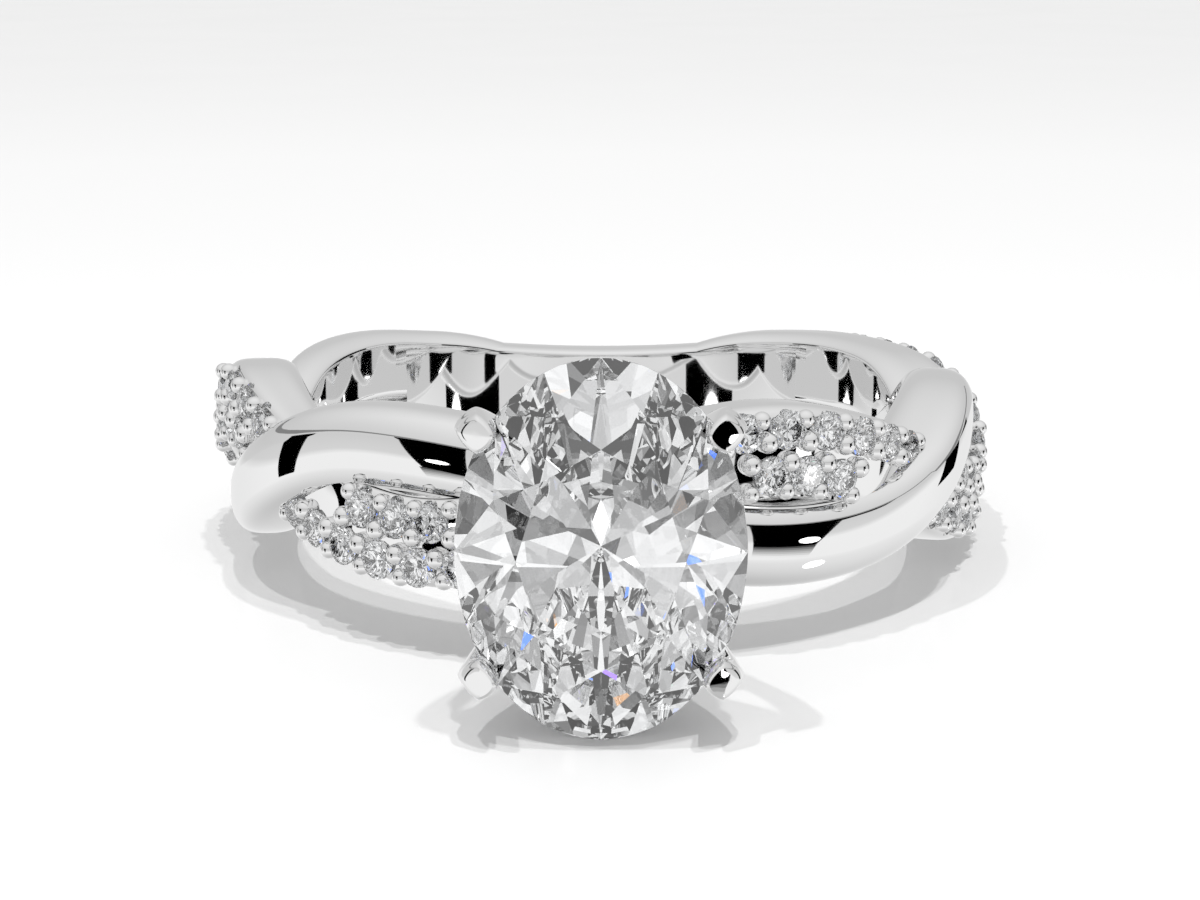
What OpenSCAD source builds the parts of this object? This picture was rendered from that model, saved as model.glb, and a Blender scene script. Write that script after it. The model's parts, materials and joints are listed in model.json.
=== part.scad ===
// Crossover engagement ring: a plain and a stone-set strand twist round the finger and
// meet in a plain shank, and four claws hold an oval centre stone.
// Upright, the finger axis is Z and the centre stone faces -Y. The part is drawn as it lies
// on a table, leaning a little about X on the tip of the stone and the back of the strands.
// Angles run round the finger from the centre stone towards +X. A half turn about the
// centre stone's axis brings the claws back onto themselves, and the strands very nearly.

/* [Finger] */
// Radius of the finger hole
finger_r = 8.65; // [8:0.05:9.2]

/* [Strands] */
// Outer radius of a strand where it lies beside the other
strand_r = 10.5; // [10.3:0.05:10.8]
// Rise or dip of a strand where the two cross
cross_lift = 0.45; // [0.2:0.05:0.5]
// Half width of the plain strand
plain_half_w = 1.13; // [1.05:0.01:1.15]
// Half width of the stone-set strand
set_half_w = 1.2; // [1.16:0.02:1.3]
// Half width of the plain shank at the back
shank_half_w = 1.42; // [1.3:0.02:1.8]

/* [Accent stones] */
// Diameter of one accent stone
accent_d = 0.94; // [0.8:0.02:0.96]
// Angle from one accent stone to the next in its row
accent_pitch = 6; // [6:0.1:6.6]
// Height of the upper row over the middle of the strand
upper_row = 0.61; // [0.58:0.01:0.62]
// Depth of the lower row under the middle of the strand
lower_row = 0.53; // [0.52:0.01:0.56]
// Radius of the metal beads between the stones
bead_r = 0.2; // [0.14:0.01:0.21]

/* [Centre stone] */
// Width of the oval stone round the finger
stone_w = 6.5; // [6.3:0.05:6.7]
// Length of the oval stone along the finger
stone_l = 8.65; // [8.4:0.05:8.9]
// Distance of the girdle from the finger axis
girdle_y = 14.55; // [14.4:0.05:15]

/* [Claws] */
// Distance of a claw tip from the middle of the stone, round the finger
claw_x = 2.7; // [2.6:0.02:2.8]
// Distance of a claw tip from the middle of the stone, along the finger
claw_z = 2.76; // [2.7:0.02:2.9]

/* [Hidden] */
gap = 0.04;

// Control heights every 10 degrees from the centre stone to the back:
// height of the plain strand, height of the set strand, share of lift of the plain strand
table_step = 10;
strand_table = [
  [0.00, 0.00, -0.6],
  [-0.70, 0.78, -0.2],
  [-1.05, 1.14, 0.0],
  [-1.20, 1.13, 0.0],
  [-1.15, 0.72, 0.1],
  [-0.75, 0.22, 0.7],
  [0.20, -0.30, 1.2],
  [1.05, -1.05, 0.6],
  [1.20, -1.50, 0.0],
  [0.90, -0.95, -0.9],
  [-0.20, 0.20, -1.1],
  [-0.92, 0.90, -0.6],
  [-1.20, 1.05, 0.0],
  [-1.28, 1.12, 0.0],
  [-1.10, 1.02, 0.0],
  [-0.93, 0.88, 0.0],
  [-0.73, 0.68, 0.0],
  [-0.38, 0.34, 0.0],
  [0.00, 0.00, 0.0]
];
last_row = len(strand_table) - 1;

// Uniform cubic spline through a column: heights change sign past either end, lifts do not
function control(i, col, odd) =
  i < 0 ? (odd ? -1 : 1) * strand_table[-i][col] :
  i > last_row ? (odd ? -1 : 1) * strand_table[2 * last_row - i][col] : strand_table[i][col];
function spline(t, col, odd) =
  let(s = abs(t) / table_step, i = min(floor(s), last_row - 1), u = s - i, v = 1 - u)
  ((odd && t < 0) ? -1 : 1) * (pow(v, 3) * control(i - 1, col, odd)
    + (3 * pow(u, 3) - 6 * u * u + 4) * control(i, col, odd)
    + (3 * pow(v, 3) - 6 * v * v + 4) * control(i + 1, col, odd)
    + pow(u, 3) * control(i + 2, col, odd)) / 6;

// Paths of the strands, as an angle round the finger, a height and an outer radius
bore_dip = 0.25;
// The set strand stands a little higher near the centre stone, on either side of it
set_rise = 0.2;
function plain_z(t) = spline(t, 0, true);
function set_z(t) = spline(t, 1, true) + set_rise * pow(max(0, cos(t)), 4);
function lift(t) = cross_lift * spline(t, 2, false);
// Inside the shank the strands run out, thinner and lower than the shank
shank_start = 134.3;
run_out_start = 145;
strand_end = 161;
thinning = 0.25;
sinking = 0.3;
function run_out(t) = pow(max(0, (abs(t) - run_out_start) / (strand_end - run_out_start)), 2);
function taper(t) = 1 - thinning * run_out(t);
function plain_r(t) = strand_r + lift(t) - sinking * run_out(t);
function set_r(t) = strand_r - lift(t) - sinking * run_out(t);
function path_point(t, z, r) = [r * sin(t), -r * cos(t), z];
function unit(v) = v / norm(v);
function mid_r(r) = (r + finger_r - bore_dip) / 2;
function half_h(r) = (r - finger_r + bore_dip) / 2;
function plain_mid(t) = path_point(t, plain_z(t), mid_r(plain_r(t)));
function set_mid(t) = path_point(t, set_z(t), mid_r(set_r(t)));
function plain_dir(t) = unit(plain_mid(t + 1) - plain_mid(t - 1));
function set_dir(t) = unit(set_mid(t + 1) - set_mid(t - 1));

// Section of a strand: a rounded box, with one roundness on the outer side and one on the inner
section_sides = 10;
function power(x, p) = sign(x) * pow(abs(x), p);
function outline(half_w, half_h, crown, heel) = [for (i = [0:section_sides - 1])
  let(a = 360 * (i + 0.5) / section_sides, q = 2 / (sin(a) > 0 ? crown : heel))
  [half_w * power(cos(a), q), half_h * power(sin(a), q)]];
function out_dir(t, dir) = let(out = [sin(t), -cos(t), 0]) unit(out - (out * dir) * dir);
function placed(c, dir, t, pts) = let(n = out_dir(t, dir), b = cross(dir, n))
  [for (p = pts) c - b * p[0] + n * p[1]];

// Skin through a row of sections, each a ring of as many points
module skin(sections, closed) {
  m = len(sections[0]);
  k = len(sections);
  sides = [for (i = [0:(closed ? k - 1 : k - 2)], j = [0:m - 1])
    let(a = i * m + j, b = i * m + (j + 1) % m, c = ((i + 1) % k) * m + (j + 1) % m,
      d = ((i + 1) % k) * m + j) each [[a, c, b], [a, d, c]]];
  ends = closed ? [] : [[for (j = [0:m - 1]) j], [for (j = [m - 1:-1:0]) (k - 1) * m + j]];
  polyhedron([for (s = sections) each s], concat(sides, ends), convexity = 8);
}

step_t = 7;
round_crown = 2.3;
flat_crown = 5;
set_heel = 2.6;
module plain_strand() skin([for (t = [-strand_end:step_t:strand_end])
  placed(plain_mid(t), plain_dir(t), t,
    outline(plain_half_w * taper(t), half_h(plain_r(t)), round_crown, round_crown))], false);
module set_strand() skin([for (t = [-strand_end:step_t:strand_end])
  placed(set_mid(t), set_dir(t), t,
    outline(set_half_w * taper(t), half_h(set_r(t)), flat_crown, set_heel))], false);

// Plain shank at the back, where both strands run into one band
shank_flare = 0.71;
shank_flare_max = 1.37;
shank_fall = 0.5;
shank_parts = 12;
shank_crown = 3;
shank_heel = 4;
function shank_blend(t) = (180 - abs(t)) / (180 - shank_start);
function shank_w(t) = shank_half_w * min(shank_flare_max, 1 + shank_flare * pow(shank_blend(t), 2));
function shank_r(t) = strand_r - shank_fall * pow(shank_blend(t), 4);
module shank() skin([for (i = [0:shank_parts])
  let(t = shank_start + 2 * (180 - shank_start) * i / shank_parts, u = t > 180 ? t - 360 : t)
  placed(path_point(u, 0, mid_r(shank_r(u))), [cos(u), sin(u), 0], u,
    outline(shank_w(u), half_h(shank_r(u)), shank_crown, shank_heel))], false);

// Accent stones stand in two staggered rows on the set strand, with beads between them
first_upper = 19.5;
first_lower = 23.4;
last_accent = 141;
shows_over = -0.4;
may_cover = 0.2;
stone_seat_h = 0.04;
accent_rows = [
  for (t = [first_upper:accent_pitch:last_accent]) [t, upper_row],
  for (t = [first_lower:accent_pitch:last_accent]) [t, -lower_row]
];
// A place on the set strand is free where that strand passes over or clear beside the plain one
function is_free(t, up, r) = lift(t) < shows_over * cross_lift
  || abs(set_z(t) + up - plain_z(t)) > plain_half_w + r;
// A side of 1 is the one towards +X, and on the other side the rows change places
function holds_accent(t, up) = abs(t) > first_upper - accent_pitch / 4 && abs(t) < last_accent
  && is_free(t, up, accent_d / 2 - may_cover);
function accents(side) = [for (p = side * accent_rows) if (holds_accent(p[0], p[1])) p];
bead_rise = 0.36;
bead_h = 0.3;
bead_root = 0.3;
bead_top = 0.6;
function beads(side) = [
  for (p = side * accent_rows, step = [-0.5, 0.5])
    let(t = p[0] + step * accent_pitch, up = p[1] + sign(p[1]) * bead_rise)
    if (is_free(t, up, bead_r - may_cover) && holds_accent(p[0], p[1])
      && (step > 0 || !holds_accent(p[0] - accent_pitch, p[1]))) [t, up]
];

// Carries its children to the outer face of the set strand, their Z pointing outwards
module on_set_strand(t, up, out) {
  d = set_dir(t);
  n = out_dir(t, d);
  v = cross(n, d);
  p = set_mid(t) + n * (half_h(set_r(t)) + out) + v * up;
  multmatrix([[d[0], v[0], n[0], p[0]], [d[1], v[1], n[1], p[1]], [d[2], v[2], n[2], p[2]]])
    children();
}

// Small brilliant with an eight-sided table, girdle at its origin
accent_sides = 8;
accent_table = 0.58;
accent_crown = 0.16;
accent_pavilion = 0.43;
function ring_of(r, z) = [for (i = [0:accent_sides - 1])
  let(a = 360 * i / accent_sides) [r * cos(a), r * sin(a), z]];
module small_brilliant(d) {
  s = accent_sides;
  crown = [for (i = [0:s - 1]) let(j = (i + 1) % s) [i, j, s + j, s + i]];
  pavilion = [for (i = [0:s - 1]) let(j = (i + 1) % s) [s + i, s + j, 2 * s]];
  polyhedron(concat(ring_of(accent_table * d / 2, accent_crown * d), ring_of(d / 2, 0),
    [[0, 0, -accent_pavilion * d]]), concat([[for (i = [s - 1:-1:0]) i]], crown, pavilion));
}
module accent_pocket(d, rise) {
  slope = 0.5 / accent_pavilion;
  depth = accent_pavilion * d + gap;
  translate([0, 0, -depth]) cylinder(h = depth + rise, r1 = gap / 2,
    r2 = gap / 2 + (depth + rise) * slope, $fn = accent_sides);
}
module bead() translate([0, 0, -bead_root]) cylinder(h = bead_root + bead_h, r1 = bead_r,
  r2 = bead_top * bead_r, $fn = 10);
module accent_side(side) for (p = accents(side)) on_set_strand(p[0], p[1], stone_seat_h)
  small_brilliant(accent_d);
module both_sides() {
  children();
  rotate([0, 180, 0]) children();
}

// Oval brilliant: planes of a round one, stretched, girdle at its origin
crown_h = 0.95;
pavilion_h = 2.75;
girdle_h = 0.09;
table_share = 0.57;
star_reach = 0.78;
half_reach = 0.24;
star_rise = crown_h * (1 - star_reach * cos(22.5)) / (1 - table_share);
arc_parts = 2;
function polar(r, a, z) = [r * cos(a), r * sin(a), z];
function plane_z(a, b, c, x, y) = let(n = cross(b - a, c - a))
  a[2] - (n[0] * (x - a[0]) + n[1] * (y - a[1])) / n[2];
function sector_z(apex, z, q, a) = plane_z(apex, polar(1, 22.5 * q, z),
  polar(1, 22.5 * (q + 1), z), cos(a), sin(a));
module oval_brilliant() {
  g = girdle_h / 2;
  n = arc_parts;
  star_z = g + star_rise;
  half_z = -g - pavilion_h * (1 - half_reach * cos(22.5));
  tables = [for (k = [0:7]) polar(table_share, 45 * k, g + crown_h)];
  stars = [for (k = [0:7]) polar(star_reach, 45 * k + 22.5, star_z)];
  halves = [for (k = [0:7]) polar(half_reach, 45 * k + 22.5, half_z)];
  upper = [for (j = [0:16 * n - 1]) let(a = 22.5 * j / n, q = floor(j / n))
    polar(1, a, sector_z(stars[floor(q / 2)], g, q, a))];
  lower = [for (j = [0:16 * n - 1]) let(a = 22.5 * j / n, q = floor(j / n))
    polar(1, a, sector_z(halves[floor(q / 2)], -g, q, a))];
  pts = concat(tables, stars, halves, [[0, 0, -g - pavilion_h]], upper, lower);
  up0 = 25;
  low0 = up0 + 16 * n;
  faces = concat([[for (k = [7:-1:0]) k]],
    [for (k = [0:7]) [k, (k + 1) % 8, 8 + k]],
    [for (k = [0:7]) [k, 8 + k, up0 + 2 * n * k, 8 + (k + 7) % 8]],
    [for (q = [0:15]) [8 + floor(q / 2), for (i = [n:-1:0]) up0 + (q * n + i) % (16 * n)]],
    [for (j = [0:16 * n - 1]) let(i = (j + 1) % (16 * n)) [up0 + j, up0 + i, low0 + i, low0 + j]],
    [for (q = [0:15]) [for (i = [0:n]) low0 + (q * n + i) % (16 * n), 16 + floor(q / 2)]],
    [for (k = [0:7]) [low0 + 2 * n * k, 16 + k, 24, 16 + (k + 7) % 8]]);
  polyhedron([for (p = pts) [p[0] * stone_w / 2, p[1] * stone_l / 2, p[2]]], faces, convexity = 4);
}
module at_girdle() translate([0, -girdle_y, 0]) rotate([90, 0, 0]) children();

// Claws from the band to their tips: height above the girdle, share of the reach, half size
claw_table = [
  [-5.0, 0.38, 0.48],
  [-3.8, 0.42, 0.44],
  [-2.4, 0.66, 0.42],
  [-1.0, 0.91, 0.44],
  [0.0, 1.01, 0.47],
  [0.55, 1.00, 0.44],
  [0.85, 0.98, 0.30]
];
claw_sides = 8;
claw_round = 1.5;
room_sides = 44;
function claw_ring(h, share, half) = [for (i = [0:claw_sides - 1])
  let(a = 360 * i / claw_sides)
  [claw_x * share + half * power(cos(a), 2 / claw_round), -girdle_y - h,
    claw_z * share + half * power(sin(a), 2 / claw_round)]];
module claw() skin([for (row = claw_table) claw_ring(row[0], row[1], row[2])], false);
module claws() {
  both_sides() {
    claw();
    mirror([1, 0, 0]) claw();
  }
}
module rail(y, rx, rz, wire, parts) skin([for (i = [0:parts - 1])
  let(a = 360 * i / parts) [for (j = [0:5]) let(b = 60 * j)
    [(rx + wire * cos(b)) * cos(a), -y + wire * sin(b), (rz + wire * cos(b)) * sin(a)]]], true);
// Room for the centre stone, which follows the cones that its facets lie in
module stone_room() scale([stone_w + 2 * gap, stone_l + 2 * gap, 1]) {
  band = girdle_h / 2 + gap;
  translate([0, 0, -band - pavilion_h]) cylinder(h = pavilion_h, r1 = 0, r2 = 0.5, $fn = room_sides);
  translate([0, 0, -band]) cylinder(h = 2 * band, r = 0.5, $fn = room_sides);
  translate([0, 0, band]) cylinder(h = star_rise, r1 = 0.5, r2 = star_reach / 2, $fn = room_sides);
}
gallery_y = girdle_y - 2.4;
gallery_x = 2.24;
gallery_z = 2.98;
foot_y = strand_r + 0.24;
foot_x = 1.52;
foot_z = 1.63;
rail_r = 0.29;
foot_parts = 14;
gallery_parts = 20;
module head() difference() {
  union() {
    claws();
    rail(gallery_y, gallery_x, gallery_z, rail_r, gallery_parts);
    rail(foot_y, foot_x, foot_z, rail_r, foot_parts);
  }
  at_girdle() stone_room();
}

// A single small stone let into the inner wall at the back
inner_d = 0.7;
inner_t = -164.6;
inner_z = 0.1;
inner_sink = 0.12;
inner_clear = 0.18;
module at_inner_stone() rotate([0, 0, inner_t]) translate([0, -finger_r - inner_sink, inner_z])
  rotate([-90, 0, 0]) children();

// All metal is soldered into one piece, and its outer skin is one mesh
pocket_rise = 0.2;
hole_h = 12;
module soldered() resize([0, 0, 0]) children();
module ring_mount() color("silver") lying() difference() {
  soldered() {
    difference() {
      union() {
        plain_strand();
        set_strand();
        shank();
      }
      for (side = [1, -1], p = accents(side)) on_set_strand(p[0], p[1], stone_seat_h)
        accent_pocket(accent_d, pocket_rise);
      at_inner_stone() accent_pocket(inner_d, inner_sink + inner_clear);
      cylinder(h = hole_h, r = finger_r - gap, center = true, $fn = 60);
    }
    for (side = [1, -1], p = beads(side)) on_set_strand(p[0], p[1], 0) bead();
    head();
  }
  cylinder(h = hole_h, r = finger_r, center = true, $fn = 120);
}
module centre_stone() color("white") lying() at_girdle() oval_brilliant();
module accent_stones_left() color("white") lying() accent_side(-1);
module accent_stones_right() color("white") lying() accent_side(1);
module inner_stone() color("white") lying() at_inner_stone() small_brilliant(inner_d);

// The ring lies on the lower tip of the stone and on the backs of both strands
lean = 5.47;
rest_y = 2.64;
rest_z = stone_l / 2 * cos(lean) - (girdle_y - girdle_h / 2) * sin(lean);
module lying() translate([0, rest_y, rest_z]) rotate([-lean, 0, 0]) children();

ring_mount();
centre_stone();
accent_stones_left();
accent_stones_right();
inner_stone();
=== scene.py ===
"""Crossover engagement ring: two strands twist round the finger hole and four claws hold a large stone.

The ring is drawn upright, with the finger axis along Z and the centre stone facing -Y, and every mesh
is then laid down by the matrix of the finger hole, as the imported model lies. Lengths in the tables are
in millimetres, and angles run round the finger from the centre stone towards +X, in degrees.
"""

import json
import math

import bmesh
import bpy
from bpy.props import FloatProperty, FloatVectorProperty, PointerProperty
from mathutils import Matrix, Vector

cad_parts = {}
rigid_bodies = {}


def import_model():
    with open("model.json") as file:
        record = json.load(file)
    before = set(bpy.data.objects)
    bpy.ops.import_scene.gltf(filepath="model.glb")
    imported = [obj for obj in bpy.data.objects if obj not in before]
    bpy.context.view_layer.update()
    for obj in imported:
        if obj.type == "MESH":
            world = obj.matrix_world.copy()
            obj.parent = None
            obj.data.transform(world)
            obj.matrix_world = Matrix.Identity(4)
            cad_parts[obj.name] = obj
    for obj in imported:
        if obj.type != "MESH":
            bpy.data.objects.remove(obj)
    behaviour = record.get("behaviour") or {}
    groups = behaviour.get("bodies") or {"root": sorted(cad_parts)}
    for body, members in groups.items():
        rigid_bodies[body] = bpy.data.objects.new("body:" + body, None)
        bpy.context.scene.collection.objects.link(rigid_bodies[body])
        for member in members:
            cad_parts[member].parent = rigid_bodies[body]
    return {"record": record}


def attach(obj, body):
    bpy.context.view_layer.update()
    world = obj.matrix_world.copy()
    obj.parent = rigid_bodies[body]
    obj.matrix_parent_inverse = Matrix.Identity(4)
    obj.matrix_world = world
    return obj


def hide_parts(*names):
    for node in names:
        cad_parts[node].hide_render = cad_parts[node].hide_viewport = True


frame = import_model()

bl_info = {
    "name": "Crossover engagement ring",
    "version": (1, 0, 0),
    "blender": (4, 5, 0),
    "location": "View3D > Sidebar > Ring",
    "description": "Twisted ring with a stone-set strand and an oval centre stone",
    "category": "Add Mesh",
}

MM = 0.001
FINGER_HOLE = frame["record"]["mounts"][0]

# Control values from the centre stone to the back, one row every so many degrees: height of the plain
# strand, height of the set strand (mm) and share of lift of the plain strand
TABLE_STEP = 10
STRAND_TABLE = (
    (0.00, 0.00, -0.6), (-0.70, 0.78, -0.2), (-1.05, 1.14, 0.0), (-1.20, 1.13, 0.0), (-1.15, 0.72, 0.1),
    (-0.75, 0.22, 0.7), (0.20, -0.30, 1.2), (1.05, -1.05, 0.6), (1.20, -1.50, 0.0), (0.90, -0.95, -0.9),
    (-0.20, 0.20, -1.1), (-0.92, 0.90, -0.6), (-1.20, 1.05, 0.0), (-1.28, 1.12, 0.0), (-1.10, 1.02, 0.0),
    (-0.93, 0.88, 0.0), (-0.73, 0.68, 0.0), (-0.38, 0.34, 0.0), (0.00, 0.00, 0.0),
)
# Claws from the band to their tips: height above the girdle (mm), share of the reach, half size (mm)
CLAW_TABLE = (
    (-5.0, 0.38, 0.46), (-3.8, 0.42, 0.43), (-2.4, 0.66, 0.41), (-1.0, 0.91, 0.43), (0.0, 1.01, 0.46),
    (0.55, 1.00, 0.45),
)


def metres(name, description, default):
    """A length property with its default in millimetres."""
    return FloatProperty(name=name, description=description, default=default * MM, unit="LENGTH")


def degrees(name, description, default):
    """An angle property with its default in degrees."""
    return FloatProperty(name=name, description=description, default=math.radians(default), subtype="ANGLE")


def colour(name, description, default):
    return FloatVectorProperty(name=name, description=description, default=default, size=3, subtype="COLOR",
                               min=0, max=1)


class RingBandSizes(bpy.types.PropertyGroup):
    finger_r: metres("Finger radius", "Radius of the finger hole", FINGER_HOLE["dims"]["r_mm"])
    strand_r: metres("Strand radius", "Outer radius of a strand where it lies beside the other", 10.5)
    cross_lift: metres("Crossing lift", "Rise or dip of a strand where the two cross", 0.45)
    plain_half_w: metres("Plain half width", "Half width of the plain strand", 1.13)
    set_half_w: metres("Set half width", "Half width of the stone-set strand", 1.2)
    shank_half_w: metres("Shank half width", "Half width of the plain shank at the back", 1.42)
    edge: metres("Edge round", "Size of the rounding along the edges of the finger hole", 0.09)


class RingStoneSizes(bpy.types.PropertyGroup):
    accent_d: metres("Accent diameter", "Diameter of one accent stone", 1.0)
    accent_pitch: degrees("Accent pitch", "Angle between stones of a row", 6)
    upper_row: metres("Upper row", "Height of the upper row over the middle of the strand", 0.61)
    lower_row: metres("Lower row", "Depth of the lower row under the middle of the strand", 0.53)
    bead_r: metres("Bead radius", "Radius of the beads along the edges of the rows", 0.235)
    stone_w: metres("Stone width", "Width of the oval stone round the finger", 6.5)
    stone_l: metres("Stone length", "Length of the oval stone along the finger", 8.65)
    girdle_y: metres("Girdle distance", "Distance of the girdle from the finger axis", 14.55)
    claw_x: metres("Claw offset across", "Distance of a claw tip from the stone's middle, round the finger",
                   2.7)
    claw_z: metres("Claw offset along", "Distance of a claw tip from the stone's middle, along the finger",
                   2.76)


class RingFinish(bpy.types.PropertyGroup):
    metal: colour("Metal", "Colour of the polished white metal", (0.88, 0.88, 0.88))
    metal_rough: FloatProperty(name="Metal roughness", description="Roughness of the polish", default=0.03)
    stone: colour("Stone", "Tint of the stones", (1.0, 1.0, 1.0))
    stone_ior: FloatProperty(name="Stone index", description="Refractive index of the stones", default=2.42)
    floor: colour("Floor", "Colour of the floor", (0.9, 0.9, 0.9))


class RingStudio(bpy.types.PropertyGroup):
    distance: metres("Camera distance", "Distance of the camera from the finger axis", 60.0)
    elevation: degrees("Elevation", "Camera height above the ring's plane", 10)
    look_down: degrees("Look down", "Tilt of the camera below the ring's plane", 10.35)
    focal_px: FloatProperty(name="Focal length", default=2065,
                            description="Focal length in pixels of the 1200 wide picture")
    dome: FloatProperty(name="Dome", description="Strength of the white light from all sides", default=0.65)


def band():
    return bpy.context.scene.ring_band


def stones():
    return bpy.context.scene.ring_stones


def laid_down():
    """The matrix from the upright ring to its place in the frame."""
    axis = Vector(FINGER_HOLE["axis"]).normalized()
    across = Vector((1, 0, 0))
    back = axis.cross(across)
    turn = Matrix((across, back, axis)).transposed().to_4x4()
    return Matrix.Translation(FINGER_HOLE["pos_m"]) @ turn


# Meshes


def finished(name, mesh, material, sharp=None):
    """Links a mesh as a piece of the ring, laid down and riding on the only body.

    Without an angle all its edges are sharp, and with one, in degrees, those that turn by more.
    """
    mesh.transform(laid_down())
    piece = bpy.data.objects.new(name, mesh)
    bpy.context.scene.collection.objects.link(piece)
    mesh.materials.clear()
    mesh.materials.append(material)
    if sharp is None:
        mesh.shade_flat()
    else:
        mesh.shade_smooth()
        mesh.set_sharp_from_angle(angle=math.radians(sharp))
    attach(piece, "root")
    return piece


def mesh_of(name, points, faces):
    mesh = bpy.data.meshes.new(name)
    mesh.from_pydata([tuple(p) for p in points], [], faces)
    mesh.validate()
    return mesh


def swept(name, sections, closed=False):
    """Skin through rings of as many points each, with flat ends where it is open."""
    k, m = len(sections), len(sections[0])
    points = [p for ring in sections for p in ring]
    faces = []
    for i in range(k if closed else k - 1):
        for j in range(m):
            a, b = i * m + j, i * m + (j + 1) % m
            c, d = (i + 1) % k * m + (j + 1) % m, (i + 1) % k * m + j
            faces.append((a, b, c, d))
    if not closed:
        faces.append(tuple(range(m - 1, -1, -1)))
        faces.append(tuple((k - 1) * m + j for j in range(m)))
    mesh = mesh_of(name, points, faces)
    outward(mesh)
    return mesh


def outward(mesh):
    bm = bmesh.new()
    bm.from_mesh(mesh)
    bmesh.ops.recalc_face_normals(bm, faces=bm.faces)
    bm.to_mesh(mesh)
    bm.free()


def joined(name, meshes):
    """One mesh from several (mesh, matrix) pairs."""
    bm = bmesh.new()
    for mesh, matrix in meshes:
        part = mesh.copy()
        part.transform(matrix)
        bm.from_mesh(part)
        bpy.data.meshes.remove(part)
    out = bpy.data.meshes.new(name)
    bm.to_mesh(out)
    bm.free()
    return out


def cut(mesh, cutter):
    """The mesh with the cutter taken out of it."""
    scene = bpy.context.scene.collection.objects
    body, tool = bpy.data.objects.new("body", mesh), bpy.data.objects.new("tool", cutter)
    for thing in (body, tool):
        scene.link(thing)
    change = body.modifiers.new("Cut", "BOOLEAN")
    change.operation, change.solver, change.object = "DIFFERENCE", "MANIFOLD", tool
    bpy.context.view_layer.update()
    result = bpy.data.meshes.new_from_object(body.evaluated_get(bpy.context.evaluated_depsgraph_get()))
    for thing in (body, tool):
        bpy.data.objects.remove(thing)
    return result


# Paths of the strands, by the angle round the finger


def control(i, col, odd):
    """A row's value, also past both ends: heights change sign there, lifts do not."""
    last = len(STRAND_TABLE) - 1
    sign = -1 if odd and (i < 0 or i > last) else 1
    i = -i if i < 0 else 2 * last - i if i > last else i
    return sign * STRAND_TABLE[i][col]


def spline(t, col, odd):
    """A column of the table at an angle, along a smooth cubic curve."""
    s = abs(t) / TABLE_STEP
    i = min(int(s), len(STRAND_TABLE) - 2)
    u = s - i
    v = 1 - u
    value = (v**3 * control(i - 1, col, odd) + (3 * u**3 - 6 * u * u + 4) * control(i, col, odd)
             + (3 * v**3 - 6 * v * v + 4) * control(i + 1, col, odd) + u**3 * control(i + 2, col, odd)) / 6
    return -value if odd and t < 0 else value


# Inside the shank the strands run out: the angles where that starts and where they end, the share of
# their width that they lose and how far they sink (mm)
RUN_OUT_START, STRAND_END = 145, 161
THINNING, SINKING = 0.25, 0.3
# How far a strand's section reaches into the finger hole before it is cut off there (mm)
BORE_DIP = 0.25
# Rise of the set strand beside the centre stone (mm)
SET_RISE = 0.2


def run_out(t):
    return max(0, (abs(t) - RUN_OUT_START) / (STRAND_END - RUN_OUT_START)) ** 2


def taper(t):
    return 1 - THINNING * run_out(t)


def lift(t):
    return band().cross_lift / MM * spline(t, 2, False)


def strand_z(t, plain):
    if plain:
        return spline(t, 0, True)
    return spline(t, 1, True) + SET_RISE * max(0, math.cos(math.radians(t))) ** 4


def strand_out(t, plain):
    """Outer radius of a strand in millimetres."""
    return band().strand_r / MM + (lift(t) if plain else -lift(t)) - SINKING * run_out(t)


def on_path(t, z, r):
    """The point at an angle round the finger, a height and a distance from the finger axis."""
    a = math.radians(t)
    return Vector((r * math.sin(a), -r * math.cos(a), z))


def middle(t, plain):
    return on_path(t, strand_z(t, plain), (strand_out(t, plain) + band().finger_r / MM - BORE_DIP) / 2)


def half_height(r):
    return (r - band().finger_r / MM + BORE_DIP) / 2


def along(t, plain):
    return (middle(t + 1, plain) - middle(t - 1, plain)).normalized()


def outwards(t, direction):
    """Unit vector away from the finger, square to the strand's direction."""
    out = on_path(t, 0, 1)
    return (out - out.dot(direction) * direction).normalized()


def signed_power(x, p):
    return math.copysign(abs(x) ** p, x)


def walked(points, lengths, where):
    """The point at a distance along a polyline."""
    lo, hi = 0, len(lengths) - 1
    where = min(max(where, 0), lengths[-1])
    while hi - lo > 1:
        mid = (lo + hi) // 2
        if lengths[mid] <= where:
            lo = mid
        else:
            hi = mid
    span = lengths[hi] - lengths[lo]
    return points[lo].lerp(points[hi], (where - lengths[lo]) / span if span > 0 else 0)


def measured(points):
    lengths = [0.0]
    for a, b in zip(points, points[1:]):
        lengths.append(lengths[-1] + (b - a).length)
    return lengths


def rounded(crown, heel):
    """Outline of a rounded box by its angle, as shares of its half width and half height."""
    def at(a):
        q = 2 / (crown if math.sin(a) > 0 else heel)
        return signed_power(math.cos(a), q), signed_power(math.sin(a), q)
    return at


# The plain strand's outer side: angle that marks a crease on the outline, half width and bow of the
# face between the creases (mm)
CREASE_ANGLE = 60
FACE_HALF_W, FACE_BOW_R = 0.44, 2.7
# Shift of that face (mm) and the angle round the finger by which it has doubled
FACE_SHIFT, FACE_SHIFT_AT = 0.085, 35
# The flanks beside it: slope at the crease, how much of their width that slope holds, and the height at
# which they turn over the side, as a share of the half height
FLANK_START, FLANK_REACH, SIDE_TOP = math.radians(17), 0.78, 0.62


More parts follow.
